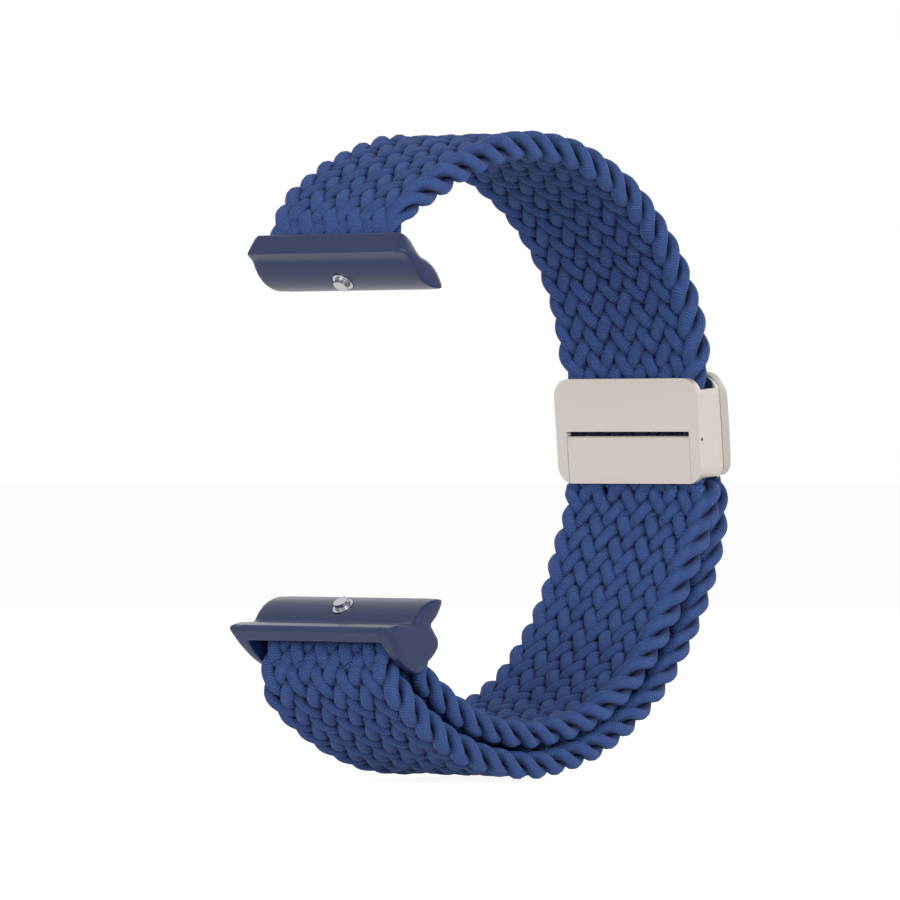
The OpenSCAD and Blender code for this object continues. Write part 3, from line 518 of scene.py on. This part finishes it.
def braid(name, v0, v1):
    """A piece with every cord between lengths v0 and v1: closed tubes with a UV map in millimetres."""
    points, faces, uvs, caps, crowns = [], [], [], [], []
    count = 0
    steps = max(int(round((v1 - v0) * CORD_PER_BAND / RING_STEP)), 2)
    v = np.linspace(v0, v1, steps + 1)
    turn = np.linspace(0, 2 * pi, CORD_SIDES, endpoint=False)
    for cord in range(CORDS):
        centre, right, squeeze, wider, taller = cord_line(cord, v)
        forward = cord_line(cord, v + AHEAD)[0] - cord_line(cord, v - AHEAD)[0]
        forward /= np.linalg.norm(forward, axis=1)[:, None]
        side = np.cross(forward, right)
        side /= np.linalg.norm(side, axis=1)[:, None]
        up = np.cross(side, forward)
        wide = CORD_WIDTH / 2 * (1 + PRESSED_WIDER * (1 - squeeze)) * wider
        tall = CORD_HEIGHT / 2 * squeeze * taller
        rings = (centre[:, None] + wide[:, None, None] * np.cos(turn)[None, :, None] * side[:, None]
                 + tall[:, None, None] * np.sin(turn)[None, :, None] * up[:, None])
        points.append(rings.reshape(-1, 3))
        crowns.append(crown_of(rings, v, squeeze).ravel())
        length = np.concatenate([[0], np.cumsum(np.linalg.norm(np.diff(centre, axis=0), axis=1))])
        length = length + cord * RIB_SHIFT + v0 * RIB_RUN
        for i in range(steps):
            n = count + i * CORD_SIDES
            for j in range(CORD_SIDES):
                k = (j + 1) % CORD_SIDES
                faces.append((n + j, n + k, n + CORD_SIDES + k, n + CORD_SIDES + j))
                t0, t1 = j / CORD_SIDES, (j + 1) / CORD_SIDES
                uvs += [(length[i], t0), (length[i], t1), (length[i + 1], t1), (length[i + 1], t0)]
        for start, order in ((count, -1), (count + steps * CORD_SIDES, 1)):
            caps.append(tuple(range(start, start + CORD_SIDES))[::order])
        count += len(rings) * CORD_SIDES
    mesh = bpy.data.meshes.new(name)
    mesh.from_pydata((np.concatenate(points) * MM).tolist(), [], faces + caps)
    mesh.polygons.foreach_set("use_smooth", [True] * len(faces) + [False] * len(caps))
    layer = mesh.uv_layers.new(name="cord_length")
    flat = np.zeros((len(mesh.loops), 2))
    flat[:len(uvs)] = uvs
    layer.uv.foreach_set("vector", flat.astype(np.float32).ravel())
    # How near each point comes to the braid's skin, by which the material paints shade between the cords
    unshaded_share = mesh.attributes.new("unshaded_share", "FLOAT", "POINT")
    unshaded_share.data.foreach_set("value", np.concatenate(crowns).astype(np.float32))
    piece = bpy.data.objects.new(name, mesh)
    bpy.context.scene.collection.objects.link(piece)
    return piece


# Dyed nylon yarn, braided into a sheath. Its yarns cross the cord in zigzag ribs 0.25 mm apart, so it has
# no gloss of its own but a soft bloom at grazing angles. The valleys between the ribs are darkened with
# painted shade, mixed with patches of uneven dye. Little light gets down between the cords, and there the
# colour goes to its darkest as painted shade.
CORD_BLUE = "#3a5692"
# The colour of the ribs' painted shade and of the darker dye patches
CORD_DEEP = "#1b2c5c"
# The painted shade that the cords get between each other and in the clasp's channel
CORD_PAINTED_SHADE = "#0c1430"
CORD_BLOOM = "#6f8fd8"
RIB_PITCH = 0.25
RIB_HEIGHT = 0.08
RIB_ZIGZAG = 0.1            # of the cord's girth, and of a millimetre along it
# How much of the ribs' painted shade is mixed with the dye patches
RIB_SHARE = 0.8
DYE_PATCHES = 0.9           # in a millimetre
# Where the painted shade between the cords is full, and where it is gone
SHADED_BELOW = 0.08         # the crown where the cord is darkest
OPEN_ABOVE = 0.85           # and where it has its full colour

braided_nylon, tree = new_material("braided_nylon")
lengths = add_node(tree, "ShaderNodeUVMap", {"uv_map": "cord_length"})
parts = add_node(tree, "ShaderNodeSeparateXYZ", Vector=lengths.outputs[0])
zigzag = add_node(tree, "ShaderNodeMath", {"operation": "PINGPONG"}, i0=parts.outputs["Y"], i1=RIB_ZIGZAG)
slant = add_node(tree, "ShaderNodeMath", {"operation": "ADD"}, i0=zigzag.outputs[0], i1=parts.outputs["X"])
phase = add_node(tree, "ShaderNodeMath", {"operation": "MULTIPLY"}, i0=slant.outputs[0],
                 i1=2 * pi / RIB_PITCH)
rib = add_node(tree, "ShaderNodeMath", {"operation": "SINE"}, i0=phase.outputs[0])
rib_height = add_node(tree, "ShaderNodeMapRange", Value=rib.outputs[0], From_Min=-1.0, From_Max=1.0)
place = add_node(tree, "ShaderNodeTexCoord")
patches = add_node(tree, "ShaderNodeTexNoise", Vector=place.outputs["Object"], Scale=DYE_PATCHES / MM,
                   Detail=3.0)
# Painted shade in the valleys between the ribs, added to the patches of uneven dye
dye_and_rib_shade = add_node(tree, "ShaderNodeMath", {"operation": "MULTIPLY_ADD"},
               i0=rib_height.outputs[0], i1=RIB_SHARE, i2=patches.outputs["Fac"])
yarn = add_node(tree, "ShaderNodeMixRGB", Fac=dye_and_rib_shade.outputs[0], Color1=linear(CORD_DEEP),
                Color2=linear(CORD_BLUE))
# Painted shade between the cords and in the clasp's channel, from each point's crown
unshaded_share = add_node(tree, "ShaderNodeAttribute", {"attribute_name": "unshaded_share"})
open_part = add_node(tree, "ShaderNodeMapRange", {"interpolation_type": "SMOOTHSTEP"},
                     Value=unshaded_share.outputs["Fac"], From_Min=SHADED_BELOW, From_Max=OPEN_ABOVE)
shown = add_node(tree, "ShaderNodeMixRGB", Fac=open_part.outputs[0], Color1=linear(CORD_PAINTED_SHADE),
                 Color2=yarn.outputs[0])
bump = add_node(tree, "ShaderNodeBump", Height=rib_height.outputs[0], Strength=1.0, Distance=RIB_HEIGHT * MM)
surface = add_node(tree, "ShaderNodeBsdfPrincipled", Base_Color=shown.outputs[0], Roughness=0.72,
                   Specular_IOR_Level=0.3, Sheen_Weight=0.25, Sheen_Roughness=0.4,
                   Sheen_Tint=linear(CORD_BLOOM), Normal=bump.outputs[0])
add_node(tree, "ShaderNodeOutputMaterial", Surface=surface.outputs[0])


def band_piece(name, start, end, *nodes):
    """One run of the band between two lengths, in place of the solids that stand for it."""
    piece = braid(name, start, end)
    piece.data.materials.append(braided_nylon)
    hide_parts(*nodes)
    return piece


def route_place(v):
    """The point of the route at length v, in metres."""
    (y,), (z,), _ = on_route(np.array([v]))
    return Vector((0, y * MM, z * MM))


upper_run = band_piece("braid_upper_run", -TAB_DEPTH, v_marks["clasp_run"],
                       "band_upper_tab", "band_upper_run")
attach(upper_run, "strap")

clasp_run = band_piece("braid_clasp_run", v_marks["clasp_run"], v_marks["inner_run"], "band_clasp_run")
route_place(v_marks["clasp_run"])
route_place(v_marks["clasp_top"])
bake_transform(clasp_run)

inner_run = band_piece("braid_inner_run", v_marks["inner_run"], v_marks["turn"], "band_inner_run")
route_place(v_marks["inner_run"])
route_place(v_marks["inner_run"] + YIELD)
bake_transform(inner_run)

band_turn = band_piece("braid_turn", v_marks["turn"], v_marks["outer_run"], "band_turn")
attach(band_turn, "strap")

outer_run = band_piece("braid_outer_run", v_marks["outer_run"], v_marks["outer_tail"], "band_outer_run")
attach(outer_run, "strap")

outer_tail = band_piece("braid_outer_tail", v_marks["outer_tail"], v_marks["outer_end"], "band_outer_tail")
route_place(v_marks["outer_tail"])
route_place(v_marks["outer_end"])
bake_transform(outer_tail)

outer_end = band_piece("braid_outer_end", v_marks["outer_end"], v_marks["end"],
                       "band_outer_end", "band_outer_tab")
route_place(v_marks["outer_end"])
route_place(v_marks["tab"])
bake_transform(outer_end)


# ---- Clasp: housing, keeper plate, lever and pin ----
# The housing is a shallow zinc casting that slides on the band, closed at its back by a steel plate,
# which the cover's magnets pull on. The lever below the slit is a second casting. It swings on a thin
# blued pin through the side walls, and its inner edge locks the band.
ROUND_STEPS = 3
SHARP_ABOVE = 32            # degrees between faces: an edge sharper than this is rounded
SMOOTH_BELOW = 40
FLAT_FACE_WEIGHT = 100      # the large flat faces lead the shading of the rounded edges
HOUSING_ROUND = 0.25
LEVER_ROUND = 0.1


def eased_copy(name, node, width):
    """A copy of a solid with its sharp edges rounded over a width in millimetres."""
    piece = merged_copy(name, node)
    bpy.ops.object.modifier_add(type="BEVEL")
    bevel = piece.modifiers[-1]
    bevel.width = width * MM
    bevel.segments = ROUND_STEPS
    bevel.limit_method = "ANGLE"
    bevel.angle_limit = radians(SHARP_ABOVE)
    bevel.miter_outer = "MITER_ARC"
    bpy.ops.object.modifier_apply(modifier=bevel.name)
    bpy.ops.object.shade_smooth_by_angle(angle=radians(SMOOTH_BELOW))
    bpy.ops.object.modifier_add(type="WEIGHTED_NORMAL")
    weighted = piece.modifiers[-1]
    weighted.keep_sharp = True
    weighted.weight = FLAT_FACE_WEIGHT
    bpy.ops.object.modifier_apply(modifier=weighted.name)
    return piece


# Die-cast zinc, brushed and coated in champagne: pale, almost without colour, with a wide soft shine
coated_zinc = finished_metal("champagne_coated_zinc", "#d5cdc4", metallic=0.25, roughness=0.42)
# Steel wire, blued by heat: nearly black, with a dull gloss
blued_steel = finished_metal("blued_steel", "#17181c", metallic=0.6, roughness=0.5)

put_on(eased_copy("clasp_housing", "slider_housing", HOUSING_ROUND),
       "slider", "slider_housing", coated_zinc)
put_on(eased_copy("clasp_lever", "lever", LEVER_ROUND), "lever", "lever", coated_zinc)
finish_solids(brushed_steel, "keeper_plate")
finish_solids(blued_steel, "lever_pin")


# ---- Cover: shell, liner, magnets and rivets ----
# A rounded plate of coated zinc that closes on the housing's back and hides it. A liner inside it holds
# three magnets, and two steel rivets hold the band's outer end in it.
COVER_ROUND = 0.3

# The same coating as the housing's, a little closer to bare metal, and darker by painted shade
shaded_coated_cover = finished_metal("shaded_champagne_coated_zinc", "#bfb7af", metallic=0.3, roughness=0.4)
# Magnets plated with nickel: as bright as the steel, and as soft in their reflections
plated_nickel = finished_metal("plated_nickel", "#b9bbbe", metallic=1.0, roughness=0.3)

put_on(eased_copy("clasp_cover", "cover_shell", COVER_ROUND), "cover", "cover_shell", shaded_coated_cover)
finish_solids(shaded_coated_cover, "cover_liner")
finish_solids(plated_nickel, "cover_magnets")
finish_solids(brushed_steel, "cover_rivets")


# ---- Floor ----
# A matt paper floor just under the strap. It glows a little towards the camera and in reflections, so
# that it shows white there, and it keeps the strap's shadow.
FLOOR_GAP = 0.3 * MM
FLOOR_SIZE = 30
FLOOR_PALE = linear("#f3f3f3")
WHITE = linear("#ffffff")
GLOW = 1.5
GLOW_SHARE = 0.6

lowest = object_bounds()[0]
bpy.ops.object.select_all(action="DESELECT")
bpy.ops.mesh.primitive_plane_add(size=FLOOR_SIZE, location=(0, 0, lowest[2] - FLOOR_GAP))
floor = bpy.context.object
floor.name = "floor"
matt_paper, tree = new_material("matt_paper")
rays = add_node(tree, "ShaderNodeLightPath")
matt = add_node(tree, "ShaderNodeBsdfDiffuse", Color=FLOOR_PALE)
glow = add_node(tree, "ShaderNodeEmission", Color=WHITE, Strength=GLOW)
seen = add_node(tree, "ShaderNodeMath", {"operation": "MAXIMUM"}, i0=rays.outputs["Is Camera Ray"],
                i1=rays.outputs["Is Glossy Ray"])
share = add_node(tree, "ShaderNodeMath", {"operation": "MULTIPLY"}, i0=seen.outputs[0], i1=GLOW_SHARE)
mixed = add_node(tree, "ShaderNodeMixShader", i0=share.outputs[0], i1=matt.outputs[0], i2=glow.outputs[0])
add_node(tree, "ShaderNodeOutputMaterial", Surface=mixed.outputs[0])
floor.data.materials.append(matt_paper)
floor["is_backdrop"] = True


# ---- Surround, camera and lamps ----
# A white surround that lights the strap weakly, least from above. The camera stands a metre away, level
# with the strap and 42.5 degrees round from its open front. Soft square lamps stand round the strap at
# equal distances, two in front and two behind.
LEVEL_LIGHT = 0.4
TOP_LIGHT = 0.14
TOP_FROM = 0.8              # height of the direction from which the light is at its top value

world = bpy.data.worlds.new("studio")
bpy.context.scene.world = world
world.use_nodes = True
tree = world.node_tree
tree.nodes.clear()
rays = add_node(tree, "ShaderNodeLightPath")
seen = add_node(tree, "ShaderNodeMath", {"operation": "MAXIMUM"}, i0=rays.outputs["Is Camera Ray"],
                i1=rays.outputs["Is Glossy Ray"])
direction = add_node(tree, "ShaderNodeTexCoord")
upward = add_node(tree, "ShaderNodeSeparateXYZ", Vector=direction.outputs["Generated"])
level = add_node(tree, "ShaderNodeMapRange", Value=upward.outputs["Z"], From_Min=0.0, From_Max=TOP_FROM,
                 To_Min=LEVEL_LIGHT, To_Max=TOP_LIGHT)
light = add_node(tree, "ShaderNodeBackground", Color=WHITE, Strength=level.outputs[0])
white = add_node(tree, "ShaderNodeBackground", Color=WHITE, Strength=1.0)
mixed = add_node(tree, "ShaderNodeMixShader", i0=seen.outputs[0], i1=light.outputs[0], i2=white.outputs[0])
add_node(tree, "ShaderNodeOutputWorld", Surface=mixed.outputs[0])

CAMERA_AZIMUTH = radians(42.5)
CAMERA_DISTANCE = 1000 * MM
VIEW_CENTRE = (13.02 * MM, -0.7 * MM)
SENSOR = 36
LENS = 344
FAR_END = 10

camera_data = bpy.data.cameras.new("camera")
camera_data.lens = LENS
camera_data.sensor_width = SENSOR
camera_data.clip_end = FAR_END
camera = bpy.data.objects.new("camera", camera_data)
rightwards = Vector((cos(CAMERA_AZIMUTH), sin(CAMERA_AZIMUTH), 0))
towards = Vector((sin(CAMERA_AZIMUTH), -cos(CAMERA_AZIMUTH), 0))
camera.location = towards * CAMERA_DISTANCE + rightwards * VIEW_CENTRE[0] + Vector((0, 0, VIEW_CENTRE[1]))
camera.rotation_euler = (pi / 2, 0, CAMERA_AZIMUTH)
bpy.context.scene.collection.objects.link(camera)
bpy.context.scene.camera = camera

LAMP_DISTANCE = 0.9
LAMPS_AIM = Vector((0, 0.02, 0))


def soft_lamp(name, around, up, size, power):
    """A square lamp aimed at the strap, by its angle round from the camera and its height in degrees."""
    data = bpy.data.lights.new(name, "AREA")
    data.size = size
    data.energy = power
    lamp = bpy.data.objects.new(name, data)
    angle = CAMERA_AZIMUTH + radians(around)
    direction = Vector((sin(angle) * cos(radians(up)), -cos(angle) * cos(radians(up)), sin(radians(up))))
    lamp.location = LAMPS_AIM + direction * LAMP_DISTANCE
    lamp.rotation_euler = direction.to_track_quat("Z", "Y").to_euler()
    bpy.context.scene.collection.objects.link(lamp)


soft_lamp("key", around=30, up=10, size=0.5, power=5.5)
soft_lamp("fill", around=-42, up=0, size=0.6, power=6)
soft_lamp("rim", around=135, up=20, size=0.5, power=2.6)
soft_lamp("back", around=205, up=5, size=0.6, power=2.3)
bpy.context.scene.view_settings.view_transform = "Standard"

lowest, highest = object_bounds()
